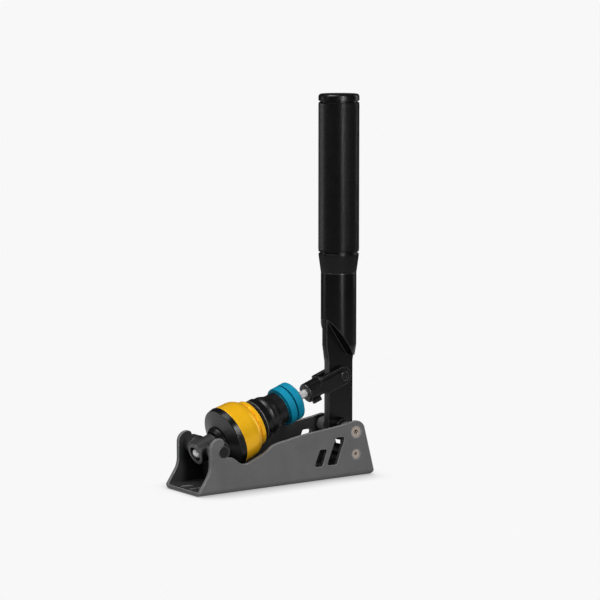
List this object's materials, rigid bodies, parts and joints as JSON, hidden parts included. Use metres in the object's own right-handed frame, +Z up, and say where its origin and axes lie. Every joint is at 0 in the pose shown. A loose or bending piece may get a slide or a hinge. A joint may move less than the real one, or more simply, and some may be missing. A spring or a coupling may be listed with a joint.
{
  "type": "sim racing handbrake",
  "caption": "Lever handbrake for a driving simulator: folded steel base, knurled upright lever, and a sprung load-cell damper that the lever's fork pushes.",
  "frame": {"origin": "bottom centre of the object's box, on the surface that the base stands on", "axes": "+X from the open front end of the base towards the lever, +Y to the side of the signal socket, +Z up along the lever"},
  "size_m": [0.204, 0.06, 0.3733],
  "materials": {
    "grey_powder": "fine-textured grey powder coat",
    "black_anodised": "satin black anodised",
    "black_knurl": "black anodised, knurled",
    "black_steel": "black oxide",
    "gold_anodised": "satin gold anodised",
    "blue_elastomer": "matt teal blue",
    "black_rubber": "matt black",
    "bright_steel": "ground bright",
    "steel": "turned steel",
    "zinc_screw": "zinc plated",
    "bronze": "sintered bronze",
    "board": "green solder mask",
    "black_plastic": "moulded black"
  },
  "bodies": {
    "base": {"base_bracket": "grey_powder", "pivot_axle": "steel", "pivot_screws": "zinc_screw", "pivot_spacers": "steel", "stop_tube": "steel", "stop_sleeve": "black_rubber", "stop_screws": "zinc_screw"},
    "lever": {"lever_shaft": "black_anodised", "hub_discs": "black_anodised", "hub_screws": "black_steel", "pivot_bushes": "black_plastic", "grip_collar": "black_anodised", "grip_sleeve": "black_knurl", "end_cap": "black_anodised", "grip_bolt": "black_steel"},
    "load_cell_unit": {"trunnions": "black_steel", "shank": "black_anodised", "shank_screw": "zinc_screw", "shank_collar": "black_anodised", "sensor_cover": "black_anodised", "load_cell": "steel", "amplifier_board": "board", "cable_socket": "black_plastic", "damper_housing": "gold_anodised", "thrust_sleeve": "black_steel", "thrust_washer": "steel", "stack_flange": "black_anodised", "rod_guide": "bronze", "elastomer_black": "black_rubber", "elastomer_blue_front": "blue_elastomer", "elastomer_blue_rear": "blue_elastomer"},
    "push_rod_unit": {"push_rod": "bright_steel", "pressure_washer": "steel", "rod_nut": "steel", "fork_head": "black_steel", "clevis_pin": "black_steel", "spring_clip": "black_steel"}
  },
  "joints": [
    {"name": "lever_pull", "type": "hinge", "parent": "base", "child": "lever", "pos_m": [0.0804, 0, 0.0444], "axis": [0, -1, 0], "range_deg": [0, 10], "stiffness_Nm_per_rad": 60},
    {"name": "damper_tilt", "type": "hinge", "parent": "base", "child": "load_cell_unit", "pos_m": [-0.0746, 0, 0.0404], "axis": [0, -1, 0], "range_deg": [0, 0.926]},
    {"name": "rod_slide", "type": "slide", "parent": "load_cell_unit", "child": "push_rod_unit", "axis": [-0.9391, 0, -0.3436], "range_m": [0, 0.00883], "deforming": ["elastomer_black", "elastomer_blue_front", "elastomer_blue_rear"]}
  ],
  "couplings": [
    {"joint": "damper_tilt", "follows": "lever_pull", "ratio": 0.09159},
    {"joint": "rod_slide", "follows": "lever_pull", "m_per_rad": 0.05056}
  ]
}
